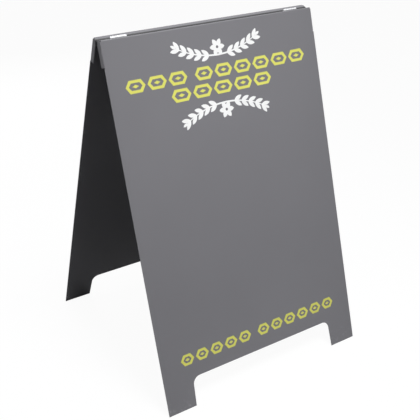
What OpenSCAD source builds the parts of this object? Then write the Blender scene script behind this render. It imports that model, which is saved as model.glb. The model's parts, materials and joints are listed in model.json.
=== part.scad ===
// Folding sandwich board (A-board): two folded sheet-steel panels, hinged at the top.
// +X across the board, -Y towards the front, +Z up.
// The origin is on the ground, under the middle of the open board.
// Each half is drawn folded shut, hanging from the hinge axis, and then swung open.

/* [Panels] */
// Width of a panel
panel_w = 600; // [450:10:750]
// Height of a panel, from its top fold to its feet
panel_h = 905; // [700:5:1150]
// Thickness of the steel sheet
sheet_t = 1.5; // [1:0.1:2]
// Inside radius of a fold
fold_r = 1; // [0.8:0.1:2]
// Distance from the parting plane to the outer face of a shut panel
half_depth = 16.5; // [15.5:0.5:24]
// Height of the folded returns at the top corners
return_h = 60; // [30:5:120]
// Depth of the lip that carries the hinges
lip_h = 14; // [12:1:18]
// Width of the relief slots between folds
relief = 1; // [0.5:0.1:2]

/* [Feet] */
// Width of a foot at the ground
foot_w = 78.5; // [50:0.5:120]
// Height of the cut-out between the feet
foot_h = 74; // [40:1:110]
// How much wider a foot is at its top
foot_taper = 3.5; // [0:0.5:12]
// Radius in the corners of the cut-out
foot_r = 20; // [6:1:35]

/* [Opening] */
// Angle between the open panels
open_angle = 36; // [20:1:44]

/* [Hinges] */
// Length of a hinge
hinge_l = 40; // [30:1:60]
// Distance from the side of the board to the middle of a hinge
hinge_inset = 55; // [30:5:110]
// Radius of the hinge barrel
barrel_r = 3; // [2.8:0.1:4]
// Radius of the hinge pin
hinge_pin_r = 1.5; // [1.2:0.1:1.7]
// Thickness of a hinge leaf
leaf_t = 1.2; // [1:0.1:1.4]
// Number of knuckles in a hinge
knuckles = 5; // [3:2:7]
// Gap between neighbouring knuckles
knuckle_gap = 0.3; // [0.2:0.05:0.6]
// Radius of a hinge rivet's shank
rivet_r = 1.6; // [1.2:0.1:2]
// Distance from the end of a hinge to its nearest rivet
rivet_edge = 8; // [6:0.5:12]

/* [Opening stops] */
// Distance from the side of the board to a stop
stop_inset = 150; // [120:5:200]
// Radius of the stop stud's shank
stud_r = 2.5; // [2:0.1:2.6]
// Thickness of the stop plates
stop_t = 2; // [1.5:0.1:3]

/* [Vinyl graphics] */
// Thickness of the cut vinyl
film_t = 0.2; // [0.1:0.05:0.4]
// Height of the links in the two title rows
title_h = 30; // [20:1:34]
// Height of the links in the footer row
footer_h = 28; // [16:1:32]
// Bare width at each end of the title row
title_margin = 42; // [20:1:80]
// Bare width at each end of the second title row
subtitle_margin = 155; // [80:1:180]
// Bare width at each end of the footer row
footer_margin = 56; // [20:1:80]
// Width of an ornament from tip to tip
ornament_w = 258; // [160:2:320]

/* [Hidden] */
$fn = 64;

// Clearances
pin_gap = 0.05;
knuckle_clear = 0.3;
barrel_clear = 0.5;
leaf_gap = 0.2;
rivet_gap = 0.05;
stud_gap = 0.15;
stop_gap = 0.5;
washer_clear = 0.5;
face_gap = 1.5;

// Folds and flats
fold_out = fold_r + sheet_t;
lip_y = leaf_gap + leaf_t;
inner_y = half_depth - sheet_t;
half_w = panel_w / 2;
half_angle = open_angle / 2;
// the barrel sits just clear of the two folds below it, to the next 0.01 mm
barrel_rise = sqrt(pow(barrel_r + barrel_clear + fold_out, 2) - pow(lip_y + fold_out, 2));
axis_h = ceil(100 * (barrel_rise - fold_out)) / 100;
axis_z = (axis_h + panel_h) * cos(half_angle) - inner_y * sin(half_angle);

// Hinges and their rivets
hinge_x = half_w - hinge_inset;
rivet_x = hinge_l / 2 - rivet_edge;
rivet_z = axis_h + (fold_out + lip_h) / 2;
rivet_head_r = rivet_r + 1.2;
rivet_head_h = leaf_t - 0.2;
rivet_tail_r = rivet_r + 1.1;
rivet_tail_h = 1.2;
leaf_end_z = axis_h + lip_h - 0.5;

// Opening stops: the stud travels in an arc slot about the hinge axis
stop_x = half_w - stop_inset;
slot_shut = half_angle + 1;
slot_open = slot_shut - open_angle;
slot_r = stud_r + stud_gap;
stud_head_r = stud_r + 1.5;
stud_head_h = 2;
washer_t = 0.8;
washer_r = stud_r + 1.7;
stop_arm = (inner_y - stop_t - washer_r - washer_clear) / sin(slot_shut);
stop_wall = 4;
stop_foot_w = 14;
stop_top_z = max(stop_arm - slot_r - stop_wall, axis_h + lip_h + 1.5);
stop_low_z = stop_arm + slot_r + stop_wall;

// Graphics, measured down the face from the top fold
header_v = 57;
title_v = 112;
subtitle_v = 152;
lower_v = 207;
footer_v = panel_h - 124;
title_w = panel_w - 2 * title_margin;
subtitle_w = panel_w - 2 * subtitle_margin;
footer_w = panel_w - 2 * footer_margin;
link_gap = 5;
word_gap = 21;
band_w = 4.4;
// The ornament's branch: its lowest point, how far it rises, its leaves and their angle off the stem
stem_low = -18;
stem_rise = 30;
leaf_pairs = 5;
leaf_l = 25;
leaf_w = 10;
leaf_spread = 31;
tip_leaf_l = 15;

// ---- Placing -------------------------------------------------------------

module swing_rear() {
    translate([0, 0, axis_z]) rotate([half_angle, 0, 0]) children();
}

module swing_front() {
    translate([0, 0, axis_z]) rotate([-half_angle, 0, 0]) children();
}

// Turns a shape drawn for the rear half into its twin on the front half
module front_twin() {
    mirror([0, 1, 0]) children();
}

// Film that is drawn flat, x across and y up from the top fold, laid on the front face
module on_front_face() {
    swing_front() translate([0, -half_depth, -axis_h]) rotate([90, 0, 0]) children();
}

// A cylinder along X, from x0 to x1
module x_rod(r, x0, x1) {
    translate([x0, 0, 0]) rotate([0, 90, 0]) cylinder(r = r, h = x1 - x0);
}

// ---- Panels --------------------------------------------------------------

// A quarter turn of sheet in the first quadrant, about the origin
module fold_section() {
    intersection() {
        difference() {
            circle(r = fold_out);
            circle(r = fold_r);
        }
        square(fold_out);
    }
}

// The cut-out between the feet, with round upper corners
module foot_cutout() {
    low_x = half_w - foot_w;
    tilt = atan(foot_taper / foot_h);
    centre_y = foot_h - foot_r;
    side_x = low_x - foot_taper * centre_y / foot_h;
    centre_x = side_x - foot_r / cos(tilt);
    touch = [centre_x + foot_r * cos(tilt), centre_y + foot_r * sin(tilt)];
    polygon([
        [-low_x, 0], [-low_x, -1], [low_x, -1], [low_x, 0], touch, [centre_x, foot_h],
        [-centre_x, foot_h], [-touch[0], touch[1]]
    ]);
    for (side = [-1, 1]) translate([side * centre_x, centre_y]) circle(r = foot_r);
}

// The flat of the panel, x across and y up from the ground
module face_outline() {
    returns_y = panel_h - return_h - relief;
    difference() {
        union() {
            translate([-half_w, 0]) square([panel_w, returns_y]);
            translate([-half_w + fold_out, 0])
                square([panel_w - 2 * fold_out, panel_h - fold_out]);
        }
        foot_cutout();
    }
}

// One folded panel, shut, for the rear half, hanging from its top fold at z = 0
module panel_from_fold() {
    flange_half = half_w - sheet_t - relief / 2;
    fold_half = half_w - fold_out - relief;
    // face
    translate([0, half_depth, -panel_h]) rotate([90, 0, 0])
        linear_extrude(sheet_t) face_outline();
    // fold between the face and the flange
    translate([-fold_half, half_depth - fold_out, -fold_out])
        rotate([90, 0, 90]) linear_extrude(2 * fold_half) fold_section();
    // flange, narrower beside its fold
    translate([-fold_half, lip_y + fold_out, -sheet_t])
        cube([2 * fold_half, half_depth - lip_y - 2 * fold_out, sheet_t]);
    translate([-flange_half, lip_y + fold_out, -sheet_t])
        cube([2 * flange_half, half_depth - lip_y - 2 * fold_out - relief, sheet_t]);
    // fold between the flange and the lip
    translate([-flange_half, lip_y + fold_out, -fold_out]) mirror([0, 1, 0])
        rotate([90, 0, 90]) linear_extrude(2 * flange_half) fold_section();
    // lip
    translate([-flange_half, lip_y, -lip_h])
        cube([2 * flange_half, sheet_t, lip_h - fold_out]);
    for (side = [0, 1]) mirror([side, 0, 0]) side_return();
}

// The return that is folded back from the top right corner of the face
module side_return() {
    fold_h = return_h - fold_out - relief;
    // fold between the face and the return
    translate([half_w - fold_out, half_depth - fold_out, -return_h])
        linear_extrude(fold_h) fold_section();
    // return, narrower above its fold
    translate([half_w - sheet_t, lip_y, -return_h])
        cube([sheet_t, half_depth - fold_out - lip_y, fold_h]);
    translate([half_w - sheet_t, lip_y, -return_h])
        cube([sheet_t, half_depth - fold_out - relief - lip_y, return_h]);
}

// The panel with its hinge rivet holes, hanging from the hinge axis at z = 0
module folded_panel() {
    difference() {
        translate([0, 0, -axis_h]) panel_from_fold();
        for (side = [-1, 1], end = [-1, 1])
            translate([side * hinge_x + end * rivet_x, lip_y - 1, -rivet_z])
                rotate([-90, 0, 0]) cylinder(r = rivet_r + rivet_gap, h = sheet_t + 2);
    }
}

module rear_panel() {
    color([0.44, 0.44, 0.46]) swing_rear() folded_panel();
}

module front_panel() {
    color([0.48, 0.48, 0.5]) swing_front() front_twin() folded_panel();
}

// ---- Hinges --------------------------------------------------------------

knuckle_l = (hinge_l - (knuckles - 1) * knuckle_gap) / knuckles;
function knuckle_x(i) = -hinge_l / 2 + i * (knuckle_l + knuckle_gap);

// A hinge leaf for the rear half, carrying every second knuckle from number first
module hinge_leaf(first) {
    clear_z = barrel_r + knuckle_clear;
    difference() {
        union() {
            translate([-hinge_l / 2, leaf_gap, -leaf_end_z])
                cube([hinge_l, leaf_t, leaf_end_z - clear_z]);
            for (i = [first:2:knuckles - 1]) {
                x_rod(barrel_r, knuckle_x(i), knuckle_x(i) + knuckle_l);
                translate([knuckle_x(i), leaf_gap, -clear_z])
                    cube([knuckle_l, leaf_t, clear_z - hinge_pin_r - pin_gap]);
            }
        }
        x_rod(hinge_pin_r + pin_gap, -hinge_l, hinge_l);
        for (end = [-1, 1]) translate([end * rivet_x, leaf_gap, -rivet_z]) rivet_hole();
    }
}

// A countersunk hole that starts at the hidden face of a leaf and runs along +Y
module rivet_hole() {
    rotate([-90, 0, 0]) {
        translate([0, 0, -1]) cylinder(r = rivet_r + rivet_gap, h = leaf_t + 2);
        cylinder(r1 = rivet_head_r + rivet_gap, r2 = rivet_r + rivet_gap, h = rivet_head_h);
    }
}

// A flat-headed rivet that starts at the hidden face of a leaf and runs along +Y
module rivet() {
    rotate([-90, 0, 0]) {
        cylinder(r1 = rivet_head_r, r2 = rivet_r, h = rivet_head_h);
        cylinder(r = rivet_r, h = leaf_t + sheet_t);
        translate([0, 0, leaf_t + sheet_t]) cylinder(r = rivet_tail_r, h = rivet_tail_h);
    }
}

// The four rivets of the rear half
module hinge_rivets() {
    for (side = [-1, 1], end = [-1, 1])
        translate([side * hinge_x + end * rivet_x, leaf_gap, -rivet_z]) rivet();
}

module rear_leaf(side) {
    color([0.86, 0.87, 0.88]) swing_rear() translate([side * hinge_x, 0, 0]) hinge_leaf(0);
}

module front_leaf(side) {
    color([0.86, 0.87, 0.88]) swing_front() translate([side * hinge_x, 0, 0])
        front_twin() hinge_leaf(1);
}

module hinge_pin(side) {
    over = 0.5;
    color([0.7, 0.71, 0.72]) swing_rear() translate([side * hinge_x, 0, 0])
        x_rod(hinge_pin_r, -hinge_l / 2 - over, hinge_l / 2 + over);
}

module rear_hinge_rivets() {
    color([0.7, 0.71, 0.72]) swing_rear() hinge_rivets();
}

module front_hinge_rivets() {
    color([0.7, 0.71, 0.72]) swing_front() front_twin() hinge_rivets();
}

// ---- Opening stops -------------------------------------------------------

// The place of the stop stud at an angle from straight down, towards +Y
function stud_place(angle) = [0, stop_arm * sin(angle), -stop_arm * cos(angle)];

// The arc slot, cut right through a plate that spans x0 to x1
module arc_slot(x0, x1) {
    arc = slot_shut - slot_open;
    rotate([slot_open, 0, 0]) translate([x0, 0, 0]) rotate([0, 90, 0])
        rotate_extrude(angle = arc)
            translate([stop_arm - slot_r, 0]) square([2 * slot_r, x1 - x0]);
    for (angle = [slot_open, slot_shut])
        translate(stud_place(angle)) x_rod(slot_r, x0, x1);
}

// The slotted plate of the rear half: a web with a foot on the panel's inner face
module slotted_plate() {
    reach = -half_depth + sheet_t + face_gap;
    difference() {
        union() {
            translate([0, reach, -stop_low_z])
                cube([stop_t, inner_y - reach, stop_low_z - stop_top_z]);
            translate([0, inner_y - stop_t, -stop_low_z])
                cube([stop_foot_w, stop_t, stop_low_z - stop_top_z]);
        }
        arc_slot(-1, stop_t + 1);
    }
}

// The bracket of the front half, which carries the stud beside the slotted plate
module stud_bracket() {
    reach = inner_y - face_gap;
    difference() {
        union() {
            translate([-stop_gap - stop_t, -inner_y, -stop_low_z])
                cube([stop_t, reach + inner_y, stop_low_z - stop_top_z]);
            translate([-stop_gap - stop_foot_w, -inner_y, -stop_low_z])
                cube([stop_foot_w, stop_t, stop_low_z - stop_top_z]);
        }
        translate(stud_place(slot_shut))
            x_rod(stud_r + rivet_gap, -stop_gap - stop_t - 1, 1);
    }
}

// The stud: a shank through bracket and slot, with a head outside the plate
module stop_stud() {
    head_x = stop_t + washer_t + stop_gap;
    tail_x = -stop_gap - stop_t;
    translate(stud_place(slot_shut)) {
        x_rod(stud_r, tail_x, head_x);
        x_rod(stud_head_r, head_x, head_x + stud_head_h);
        x_rod(stud_head_r, tail_x - stud_head_h, tail_x);
    }
}

// The washer under the stud's head
module stop_washer() {
    x0 = stop_t + stop_gap;
    translate(stud_place(slot_shut)) difference() {
        x_rod(washer_r, x0, x0 + washer_t);
        x_rod(stud_r + rivet_gap, x0 - 1, x0 + washer_t + 1);
    }
}

module stop_plate_at(side) {
    color([0.4, 0.4, 0.42]) swing_rear() translate([side * stop_x, 0, 0]) slotted_plate();
}

module stop_bracket_at(side) {
    color([0.4, 0.4, 0.42]) swing_front() translate([side * stop_x, 0, 0]) stud_bracket();
}

module stop_stud_at(side) {
    color([0.7, 0.71, 0.72]) swing_front() translate([side * stop_x, 0, 0]) stop_stud();
}

module stop_washer_at(side) {
    color([0.7, 0.71, 0.72]) swing_front() translate([side * stop_x, 0, 0]) stop_washer();
}

// ---- Vinyl graphics ------------------------------------------------------

// A flat shape, as thick as the vinyl
module film() {
    linear_extrude(film_t) children();
}

// A stroke along an arc about a centre, from angle a0 to a1, its width running from w0 to w1
module stroke(centre, r, a0, a1, w0, w1) {
    steps = 24;
    function width(t) = w0 + (w1 - w0) * t;
    function point(t, edge) =
        centre + (r + edge * width(t) / 2) * [cos(a0 + (a1 - a0) * t), sin(a0 + (a1 - a0) * t)];
    film() polygon(concat(
        [for (i = [0:steps]) point(i / steps, 1)],
        [for (i = [steps:-1:0]) point(i / steps, -1)]
    ));
}

// A pointed leaf from the origin along +Y
module leaf(length, width) {
    r = (length * length + width * width) / (4 * width);
    film() translate([0, length / 2]) intersection() {
        translate([r - width / 2, 0]) circle(r = r);
        translate([width / 2 - r, 0]) circle(r = r);
    }
}

// The right half of a leafy branch that sags under the flower and rises to the ornament's tip
module branch() {
    stem_x = ornament_w / 2 - tip_leaf_l;
    stem_r = (stem_x * stem_x + stem_rise * stem_rise) / (2 * stem_rise);
    stem_end = asin(stem_x / stem_r);
    function on_stem(turn) = [stem_r * sin(turn), stem_low + stem_r * (1 - cos(turn))];
    stroke([0, stem_low + stem_r], stem_r, -90, stem_end - 90, band_w, band_w / 2);
    for (i = [1:leaf_pairs], side = [-1, 1]) {
        turn = stem_end * (i + 0.25) / (leaf_pairs + 0.75);
        translate(on_stem(turn)) rotate(turn - 90 + side * leaf_spread) leaf(leaf_l, leaf_w);
    }
    translate(on_stem(stem_end)) rotate(stem_end - 90) leaf(tip_leaf_l, leaf_w * 0.7);
}

// A plain flower of six petals, open in the middle
module flower() {
    difference() {
        for (petal = [0:5]) rotate(60 * petal + 30) leaf(21, 12);
        translate([0, 0, -1]) cylinder(r = 3.4, h = film_t + 2);
    }
}

module ornament() {
    flower();
    branch();
    mirror([1, 0, 0]) branch();
}

// A six-sided link, open in the middle around a small diamond
module link(width, height) {
    point = height / 3;
    rim = height / 4.5;
    film() difference() {
        hexagon(width, height, point);
        hexagon(width - 2.4 * rim, height - 2 * rim, point - rim / 2);
    }
    film() hexagon(width / 3, height / 3.6, width / 6);
}

module hexagon(width, height, point) {
    polygon([
        [-width / 2, 0], [point - width / 2, height / 2], [width / 2 - point, height / 2],
        [width / 2, 0], [width / 2 - point, -height / 2], [point - width / 2, -height / 2]
    ]);
}

// A row of count links that fills width, with a wider gap after number split
module link_row(count, split, width, height) {
    extra = split > 0 ? word_gap - link_gap : 0;
    link_w = (width - extra - (count - 1) * link_gap) / count;
    for (i = [0:count - 1]) {
        shift = split > 0 && i >= split ? extra : 0;
        translate([-width / 2 + link_w / 2 + i * (link_w + link_gap) + shift, 0])
            link(link_w, height);
    }
}

module header_ornament() {
    color("white") on_front_face() translate([0, -header_v]) ornament();
}

module lower_ornament() {
    color("white") on_front_face() translate([0, -lower_v]) mirror([0, 1, 0]) ornament();
}

module title_row() {
    color([0.9, 0.9, 0.2]) on_front_face() translate([0, -title_v])
        link_row(9, 3, title_w, title_h);
}

module subtitle_row() {
    color([0.9, 0.9, 0.2]) on_front_face() translate([0, -subtitle_v])
        link_row(5, 0, subtitle_w, title_h);
}

module footer_row() {
    color([0.9, 0.9, 0.2]) on_front_face() translate([0, -footer_v])
        link_row(11, 5, footer_w, footer_h);
}

// ---- The board -----------------------------------------------------------

rear_panel();
front_panel();
rear_leaf(-1);  // left_hinge_rear_leaf
rear_leaf(1);  // right_hinge_rear_leaf
front_leaf(-1);  // left_hinge_front_leaf
front_leaf(1);  // right_hinge_front_leaf
hinge_pin(-1);  // left_hinge_pin
hinge_pin(1);  // right_hinge_pin
rear_hinge_rivets();
front_hinge_rivets();
stop_plate_at(-1);  // left_stop_plate
stop_plate_at(1);  // right_stop_plate
stop_bracket_at(-1);  // left_stop_bracket
stop_bracket_at(1);  // right_stop_bracket
stop_stud_at(-1);  // left_stop_stud
stop_stud_at(1);  // right_stop_stud
stop_washer_at(-1);  // left_stop_washer
stop_washer_at(1);  // right_stop_washer
header_ornament();
title_row();
subtitle_row();
lower_ornament();
footer_row();
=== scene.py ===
"""The folding sandwich board: materials, small hardware, studio and camera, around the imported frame."""

import json
import math

import bmesh
import bpy
from mathutils import Matrix, Vector


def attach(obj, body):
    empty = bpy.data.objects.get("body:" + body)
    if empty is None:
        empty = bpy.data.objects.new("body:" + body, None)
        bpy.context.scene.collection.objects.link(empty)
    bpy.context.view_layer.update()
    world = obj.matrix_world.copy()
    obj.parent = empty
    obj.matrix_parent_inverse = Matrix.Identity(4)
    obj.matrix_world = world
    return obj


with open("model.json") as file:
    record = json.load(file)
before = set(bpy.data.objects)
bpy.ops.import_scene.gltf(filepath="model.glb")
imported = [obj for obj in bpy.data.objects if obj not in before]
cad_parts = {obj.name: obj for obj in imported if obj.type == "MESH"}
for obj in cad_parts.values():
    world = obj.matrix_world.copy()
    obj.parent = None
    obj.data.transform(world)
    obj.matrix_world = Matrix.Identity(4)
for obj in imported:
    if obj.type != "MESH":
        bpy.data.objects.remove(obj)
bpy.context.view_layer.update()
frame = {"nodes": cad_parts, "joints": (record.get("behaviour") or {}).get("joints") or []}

# ---- Groups of nodes -----------------------------------------------------

PANELS = ["rear_panel", "front_panel"]
SIDES = ["left", "right"]
LEAVES = [f"{side}_hinge_{half}_leaf" for side in SIDES for half in ("rear", "front")]
PINS = [f"{side}_hinge_pin" for side in SIDES]
STOP_STEEL = [f"{side}_stop_{piece}" for side in SIDES for piece in ("plate", "bracket")]
STOP_HARDWARE = [f"{side}_stop_{piece}" for side in SIDES for piece in ("stud", "washer")]
RIVETS = ["rear_hinge_rivets", "front_hinge_rivets"]
WHITE_FILM = ["header_ornament", "lower_ornament"]
YELLOW_FILM = ["title_row", "subtitle_row", "footer_row"]

# ---- The fold ------------------------------------------------------------

fold = frame["joints"][0]
hinge_z = fold["pos_m"][2]
half_angle = math.radians(fold["range_deg"][1]) / 2
# Each half hangs straight down from the hinge axis before it is swung open by half_angle
SWING = {"rear_half": half_angle, "front_half": -half_angle}

# ---- Colours, linear -----------------------------------------------------

COAT_GREY = (0.165, 0.163, 0.176)
COAT_DARK = (0.140, 0.138, 0.148)
ZINC = (0.86, 0.87, 0.89)
ZINC_DULL = (0.62, 0.63, 0.65)
VINYL_WHITE = (0.88, 0.88, 0.88)
VINYL_YELLOW = (0.70, 0.69, 0.14)
FLOOR_PALE = (0.86, 0.86, 0.87)
FLOOR_DIM = (0.05, 0.05, 0.05)

# ---- Surface sizes, metres -----------------------------------------------

# Painted shade between the top folds is full up to the first distance from the middle and gone at the
# second
GROOVE_SHADE_REACH = (0.0045, 0.0075)
# It starts this far below the hinge axis and is full at the second depth
GROOVE_SHADE_DEPTH = (0.016, 0.012)
# How far up from the ground the panels and the stops' steel are scuffed
PANEL_WEAR = 0.05
STOP_WEAR = 0.01
# Width of the rounding on sheet edges, hinge leaves and rivet heads
SHEET_EDGE = 0.0003
LEAF_EDGE = 0.0002
RIVET_EDGE = 0.0008
# Points of a mesh that lie nearer than this are one point
WELD_DISTANCE = 0.000005
# Sheet thickness of the stop plates and brackets
STOP_SHEET = 0.002
# Spot-weld marks: radius, height, and places as shares of a foot's height
WELD_RADIUS = 0.0026
WELD_HEIGHT = 0.00035
WELD_SHARES = (0.3, 0.7)

# ---- Floor, lights and camera --------------------------------------------

# Length of the floor's side, and how much of its white is its own, so that its shadow stays faint
FLOOR_SIZE = 60.0
FLOOR_LIFT = 0.95
# The overhead light: from this height to this one (0 level, 1 straight up), at these strengths
SKY_COLOUR = (0.97, 0.98, 1.0)
SKY_SPAN = (0.15, 1.0, 0.0, 0.62)
KEY_PLACE = (0.0, -1.1, 2.6)
KEY_TARGET = (0.0, -0.2, 0.3)
KEY_SIZE = 0.9
KEY_POWER = 9.5
KEY_SPREAD = 64
FILL_PLACE = (-1.6, 0.6, 1.2)
FILL_TARGET = (-0.3, 0.0, 0.8)
FILL_SIZE = 0.6
FILL_POWER = 4.5
# Low behind the board, so that it lights the back panel and leaves the top folds alone
BACK_PLACE = (0.3, 2.3, 1.25)
BACK_TARGET = (0.0, 0.15, 0.45)
BACK_SIZE = 1.2
BACK_POWER = 22.0
CAMERA_PLACE = (-1.0589, -1.5607, 1.3463)
CAMERA_TARGET = (0.0108, 0.0, 0.3495)
CAMERA_ROLL = math.radians(0.956)
CAMERA_LENS = 68.25


# ---- Node helpers --------------------------------------------------------


class Tree:
    """A node tree, with short calls for the nodes used here."""

    def __init__(self, tree):
        self.tree = tree

    def node(self, kind, **settings):
        made = self.tree.nodes.new(kind)
        for key, value in settings.items():
            setattr(made, key, value)
        return made

    def link(self, source, target):
        self.tree.links.new(source, target)

    def ramp(self, source, low, high, start=0.0, end=1.0):
        """Maps source from low..high to start..end, clamped."""
        span = self.node("ShaderNodeMapRange")
        span.inputs["From Min"].default_value = low
        span.inputs["From Max"].default_value = high
        span.inputs["To Min"].default_value = start
        span.inputs["To Max"].default_value = end
        self.link(source, span.inputs["Value"])
        return span.outputs["Result"]

    def times(self, a, b):
        product = self.node("ShaderNodeMath", operation="MULTIPLY")
        self.link(a, product.inputs[0])
        self.link(b, product.inputs[1])
        return product.outputs["Value"]


class Shader(Tree):
    """A new material with a Principled surface, textured in the object's own coordinates."""

    def __init__(self, name):
        self.material = bpy.data.materials.new(name)
        self.material.use_nodes = True
        super().__init__(self.material.node_tree)
        self.surface = self.tree.nodes["Principled BSDF"]
        self.output = self.tree.nodes["Material Output"]
        self.place = self.node("ShaderNodeTexCoord").outputs["Object"]

    def set(self, **values):
        """Sets plain values on the shader's own sockets: underscores stand for spaces."""
        for key, value in values.items():
            self.surface.inputs[key.replace("_", " ")].default_value = value

    def stretched(self, scale):
        """The object's own coordinates, times scale along each axis."""
        mapping = self.node("ShaderNodeMapping")
        mapping.inputs["Scale"].default_value = scale
        self.link(self.place, mapping.inputs["Vector"])
        return mapping.outputs["Vector"]

    def noise(self, scale, detail=2.0, roughness=0.5, vector=None):
        noise = self.node("ShaderNodeTexNoise")
        noise.inputs["Scale"].default_value = scale
        noise.inputs["Detail"].default_value = detail
        noise.inputs["Roughness"].default_value = roughness
        self.link(vector or self.place, noise.inputs["Vector"])
        return noise.outputs["Fac"]

    def mix(self, share, first, second):
        """Blends two colours, each a tuple or a socket, by the socket share."""
        mix = self.node("ShaderNodeMix", data_type="RGBA")
        self.link(share, mix.inputs["Factor"])
        for colour, socket in ((first, mix.inputs[6]), (second, mix.inputs[7])):
            if isinstance(colour, tuple):
                socket.default_value = (*colour, 1.0)
            else:
                self.link(colour, socket)
        return mix.outputs[2]

    def bump(self, height, strength, distance, normal=None):
        bump = self.node("ShaderNodeBump")
        bump.inputs["Strength"].default_value = strength
        bump.inputs["Distance"].default_value = distance
        self.link(height, bump.inputs["Height"])
        if normal is not None:
            self.link(normal, bump.inputs["Normal"])
        return bump.outputs["Normal"]


def shade(colour, factor):
    """A colour made lighter or darker."""
    return tuple(min(1.0, part * factor) for part in colour)


# ---- Materials -----------------------------------------------------------


def scuffed(s, split, tone, colour, wear_height):
    """Tone with light scuffs that gather on the lowest few centimetres."""
    low = s.ramp(split.outputs["Z"], 0.0, wear_height, 1.0, 0.0)
    scuff = s.ramp(s.noise(70.0, detail=6.0, roughness=0.7), 0.55, 0.75)
    return s.mix(s.times(low, scuff), tone, shade(colour, 1.7))


def groove_shaded(s, split, tone, colour):
    """Tone darkened with painted shade in the narrow gap between the two top folds."""
    reach = s.node("ShaderNodeMath", operation="ABSOLUTE")
    s.link(split.outputs["Y"], reach.inputs[0])
    near = s.ramp(reach.outputs["Value"], *GROOVE_SHADE_REACH, 1.0, 0.0)
    start, full = GROOVE_SHADE_DEPTH
    high = s.ramp(split.outputs["Z"], hinge_z - start, hinge_z - full)
    # Painted shade: the coat falls to 0.15 of its colour in the groove under the hinge axis
    return s.mix(s.times(near, high), tone, shade(colour, 0.15))


def powder_coat(name, colour, wear_height):
    """Satin powder coat: fine orange peel, faint unevenness, specks of dust, scuffs, and painted shade in
    the groove between the top folds.
    """
    s = Shader(name)
    split = s.node("ShaderNodeSeparateXYZ")
    s.link(s.place, split.inputs["Vector"])
    broad = s.ramp(s.noise(2.6, detail=3.0), 0.35, 0.65)
    tone = s.mix(broad, shade(colour, 0.97), shade(colour, 1.03))
    specks = s.ramp(s.noise(950.0, detail=1.0), 0.66, 0.78, 0.0, 0.22)
    tone = s.mix(specks, tone, shade(colour, 1.45))
    tone = scuffed(s, split, tone, colour, wear_height)
    # Painted shade in the groove between the two top folds
    tone = groove_shaded(s, split, tone, colour)
    s.link(tone, s.surface.inputs["Base Color"])
    rough = s.ramp(s.noise(9.0, detail=4.0), 0.3, 0.7, 0.43, 0.52)
    s.link(rough, s.surface.inputs["Roughness"])
    wave = s.bump(s.noise(3.2, detail=1.0), 0.15, 0.0012)
    peel = s.bump(s.noise(620.0, detail=2.0), 0.12, 0.00012, normal=wave)
    s.link(peel, s.surface.inputs["Normal"])
    s.set(IOR=1.5, Coat_Weight=0.08, Coat_Roughness=0.35)
    return s.material


def zinc(name, colour, roughness):
    """Zinc plate with fine drawing lines along the hinge."""
    s = Shader(name)
    lines = s.noise(1.0, detail=3.0, vector=s.stretched((60.0, 2400.0, 2400.0)))
    cloud = s.ramp(s.noise(240.0, detail=3.0), 0.35, 0.7)
    tone = s.mix(cloud, shade(colour, 0.93), shade(colour, 1.04))
    s.link(tone, s.surface.inputs["Base Color"])
    spread = s.ramp(lines, 0.3, 0.7, roughness - 0.05, roughness + 0.08)
    s.link(spread, s.surface.inputs["Roughness"])
    s.link(s.bump(lines, 0.15, 0.00008), s.surface.inputs["Normal"])
    s.set(Metallic=0.75)
    return s.material


def vinyl(name, colour):
    """Gloss self-adhesive film with a trace of application ripple."""
    s = Shader(name)
    tone = s.mix(
        s.ramp(s.noise(14.0, detail=3.0), 0.35, 0.65),
        shade(colour, 0.97),
        shade(colour, 1.02),
    )
    s.link(tone, s.surface.inputs["Base Color"])
    rough = s.ramp(s.noise(120.0, detail=3.0), 0.3, 0.7, 0.28, 0.36)
    s.link(rough, s.surface.inputs["Roughness"])
    s.link(s.bump(s.noise(260.0, detail=2.0), 0.10, 0.0001), s.surface.inputs["Normal"])
    s.set(IOR=1.46)
    return s.material


def dress(names, material):
    """Gives CAD nodes a material."""
    for name in names:
        piece = frame["nodes"][name]
        piece.data.materials.clear()
        piece.data.materials.append(material)


def soften(names, width, segments=2):
    """Rounds the sharp edges of CAD nodes with modifiers, which leave their meshes as they are.

    The flat faces are made whole first, so that no line of their triangles shows in the shading.
    """
    for name in names:
        piece = frame["nodes"][name]
        weld = piece.modifiers.new("weld", "WELD")
        weld.merge_threshold = WELD_DISTANCE
        flat = piece.modifiers.new("flat", "DECIMATE")
        flat.decimate_type = "DISSOLVE"
        flat.angle_limit = math.radians(0.5)
        bevel = piece.modifiers.new("edges", "BEVEL")
        bevel.width = width
        bevel.segments = segments
        bevel.limit_method = "ANGLE"
        bevel.angle_limit = math.radians(40)
        bevel.use_clamp_overlap = False
        even = piece.modifiers.new("even", "WEIGHTED_NORMAL")
        even.keep_sharp = True


# ---- Dressing the frame --------------------------------------------------

dress(PANELS, powder_coat("powder_coat", COAT_GREY, PANEL_WEAR))
dress(STOP_STEEL, powder_coat("stop_coat", COAT_DARK, STOP_WEAR))
dress(LEAVES, zinc("bright_zinc", ZINC, 0.34))
dress(PINS + STOP_HARDWARE + RIVETS, zinc("dull_zinc", ZINC_DULL, 0.42))
dress(WHITE_FILM, vinyl("white_vinyl", VINYL_WHITE))
dress(YELLOW_FILM, vinyl("yellow_vinyl", VINYL_YELLOW))
soften(PANELS, SHEET_EDGE)
soften(STOP_STEEL, SHEET_EDGE)
soften(LEAVES, LEAF_EDGE)
soften(STOP_HARDWARE, SHEET_EDGE)
soften(RIVETS, RIVET_EDGE, segments=4)


# ---- Spot welds on the stops' feet ----------------------------------------


def hanging(body):
    """The matrix from a half that hangs straight down, its hinge axis at the origin, to the model."""
    return Matrix.Translation((0, 0, hinge_z)) @ Matrix.Rotation(SWING[body], 4, "X")


def hanging_box(node, body):
    """A node's lowest and highest corners in its half's hanging frame."""
    back = hanging(body).inverted()
    places = [back @ vertex.co for vertex in frame["nodes"][node].data.vertices]
    low = Vector(min(place[axis] for place in places) for axis in range(3))
    high = Vector(max(place[axis] for place in places) for axis in range(3))
    return low, high


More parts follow.
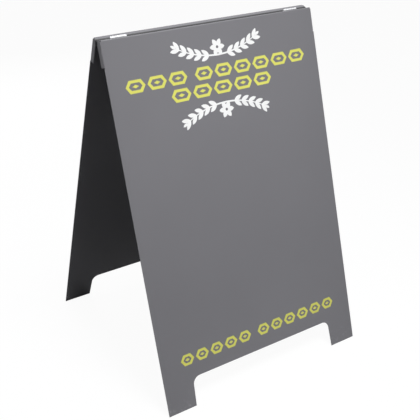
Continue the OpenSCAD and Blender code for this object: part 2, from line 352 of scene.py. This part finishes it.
def turned(profile, steps):
    """A bmesh of a profile of (radius, height) points, turned about Z."""
    made = bmesh.new()
    rings = []
    for radius, height in profile:
        turn = [2 * math.pi * step / steps for step in range(steps)]
        spots = [(radius * math.cos(a), radius * math.sin(a), height) for a in turn]
        rings.append([made.verts.new(spot) for spot in spots])
    for under, over in zip(rings, rings[1:]):
        for step in range(steps):
            after = (step + 1) % steps
            made.faces.new((under[step], under[after], over[after], over[step]))
    made.faces.new(list(reversed(rings[0])))
    made.faces.new(rings[-1])
    return made


def weld_mark(name, body, place, toward, material):
    """A shallow round weld dimple at place on a half, its axis along toward."""
    shape = [(1.0, 0.0), (0.92, 0.6), (0.78, 1.0), (0.55, 0.75), (0.2, 0.45)]
    profile = [(WELD_RADIUS * out, WELD_HEIGHT * up) for out, up in shape]
    made = turned(profile, 32)
    aim = Vector(toward).to_track_quat("Z", "Y").to_matrix().to_4x4()
    made.transform(hanging(body) @ Matrix.Translation(place) @ aim)
    mesh = bpy.data.meshes.new(name)
    made.to_mesh(mesh)
    made.free()
    for face in mesh.polygons:
        face.use_smooth = True
    mesh.materials.append(material)
    piece = bpy.data.objects.new(name, mesh)
    bpy.context.scene.collection.objects.link(piece)
    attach(piece, body)


def foot_welds(side, kind, body, outward, material):
    """The two weld marks on the foot of a stop plate or bracket.

    outward is +1 where the foot lies on the panel at +Y of the hanging half, else -1.
    """
    low, high = hanging_box(f"{side}_stop_{kind}", body)
    foot_face = (high.y if outward > 0 else low.y) - outward * STOP_SHEET
    # the web stands at the low end of a plate and at the high end of a bracket
    shift = STOP_SHEET / 2 if kind == "plate" else -STOP_SHEET / 2
    foot_x = (low.x + high.x) / 2 + shift
    for number, share in enumerate(WELD_SHARES):
        place = (foot_x, foot_face, low.z + share * (high.z - low.z))
        weld_mark(f"{side}_{kind}_weld_{number}", body, place, (0, -outward, 0), material)


stop_coat = frame["nodes"]["left_stop_plate"].data.materials[0]
for side in SIDES:
    foot_welds(side, "plate", "rear_half", 1, stop_coat)
    foot_welds(side, "bracket", "front_half", -1, stop_coat)

# ---- Studio --------------------------------------------------------------


def by_ray(s, rays, other, seen):
    """A mix of two shaders: seen for the named kinds of ray, other for the rest."""
    path = s.node("ShaderNodeLightPath")
    share = path.outputs[rays[0]]
    for kind in rays[1:]:
        either = s.node("ShaderNodeMath", operation="MAXIMUM")
        s.link(share, either.inputs[0])
        s.link(path.outputs[kind], either.inputs[1])
        share = either.outputs["Value"]
    mix = s.node("ShaderNodeMixShader")
    s.link(share, mix.inputs["Fac"])
    s.link(other, mix.inputs[1])
    s.link(seen, mix.inputs[2])
    return mix.outputs["Shader"]


def studio_floor():
    """A pale floor that shows white around the board's shadow and throws back little light."""
    bpy.ops.mesh.primitive_plane_add(size=FLOOR_SIZE, location=(0, 0, 0))
    floor = bpy.context.object
    floor.name = "studio_floor"
    s = Shader("studio_floor")
    s.surface.inputs["Base Color"].default_value = (*FLOOR_PALE, 1.0)
    s.set(Roughness=0.9, Specular_IOR_Level=0.2)
    pale = s.surface.outputs["BSDF"]
    white = s.node("ShaderNodeEmission")
    lifted = s.node("ShaderNodeMixShader")
    lifted.inputs["Fac"].default_value = FLOOR_LIFT
    s.link(pale, lifted.inputs[1])
    s.link(white.outputs["Emission"], lifted.inputs[2])
    dim = s.node("ShaderNodeBsdfDiffuse")
    dim.inputs["Color"].default_value = (*FLOOR_DIM, 1.0)
    mirrored = by_ray(s, ["Is Glossy Ray", "Is Transmission Ray"], dim.outputs["BSDF"], pale)
    shown = by_ray(s, ["Is Camera Ray"], mirrored, lifted.outputs["Shader"])
    s.link(shown, s.output.inputs["Surface"])
    floor.data.materials.append(s.material)


def studio_world():
    """White where the camera or a reflection looks, and a soft light that comes from overhead."""
    world = bpy.data.worlds.new("studio")
    bpy.context.scene.world = world
    world.use_nodes = True
    s = Tree(world.node_tree)
    out = world.node_tree.nodes["World Output"]
    sky = world.node_tree.nodes["Background"]
    sky.inputs["Color"].default_value = (*SKY_COLOUR, 1.0)
    split = s.node("ShaderNodeSeparateXYZ")
    s.link(s.node("ShaderNodeTexCoord").outputs["Generated"], split.inputs["Vector"])
    s.link(s.ramp(split.outputs["Z"], *SKY_SPAN), sky.inputs["Strength"])
    white = s.node("ShaderNodeBackground")
    white.inputs["Color"].default_value = (1.0, 1.0, 1.0, 1.0)
    rays = ["Is Camera Ray", "Is Glossy Ray", "Is Transmission Ray"]
    shown = by_ray(s, rays, sky.outputs["Background"], white.outputs["Background"])
    s.link(shown, out.inputs["Surface"])


def area_light(name, place, target, size, power, spread=180):
    """A square soft light at place, facing target, that fades to nothing at half its spread."""
    data = bpy.data.lights.new(name, "AREA")
    data.size = size
    data.energy = power
    data.spread = math.radians(spread)
    lamp = bpy.data.objects.new(name, data)
    bpy.context.scene.collection.objects.link(lamp)
    lamp.visible_camera = False
    lamp.location = place
    aim = Vector(target) - Vector(place)
    lamp.rotation_mode = "QUATERNION"
    lamp.rotation_quaternion = aim.to_track_quat("-Z", "Y")


def camera(place, target, roll, lens):
    """The camera at place, looking at target and rolled about its own axis."""
    data = bpy.data.cameras.new("camera")
    data.lens = lens
    data.sensor_width = 36.0
    seer = bpy.data.objects.new("camera", data)
    bpy.context.scene.collection.objects.link(seer)
    ahead = (Vector(target) - Vector(place)).normalized()
    level = ahead.cross(Vector((0, 0, 1))).normalized()
    upright = level.cross(ahead)
    right = math.cos(roll) * level + math.sin(roll) * upright
    up = right.cross(ahead)
    turn = Matrix((right, up, -ahead)).transposed()
    seer.matrix_world = Matrix.Translation(place) @ turn.to_4x4()
    bpy.context.scene.camera = seer


studio_floor()
studio_world()
area_light("key", KEY_PLACE, KEY_TARGET, KEY_SIZE, KEY_POWER, KEY_SPREAD)
area_light("fill", FILL_PLACE, FILL_TARGET, FILL_SIZE, FILL_POWER)
area_light("back", BACK_PLACE, BACK_TARGET, BACK_SIZE, BACK_POWER)
camera(CAMERA_PLACE, CAMERA_TARGET, CAMERA_ROLL, CAMERA_LENS)
bpy.context.scene.view_settings.view_transform = "Standard"
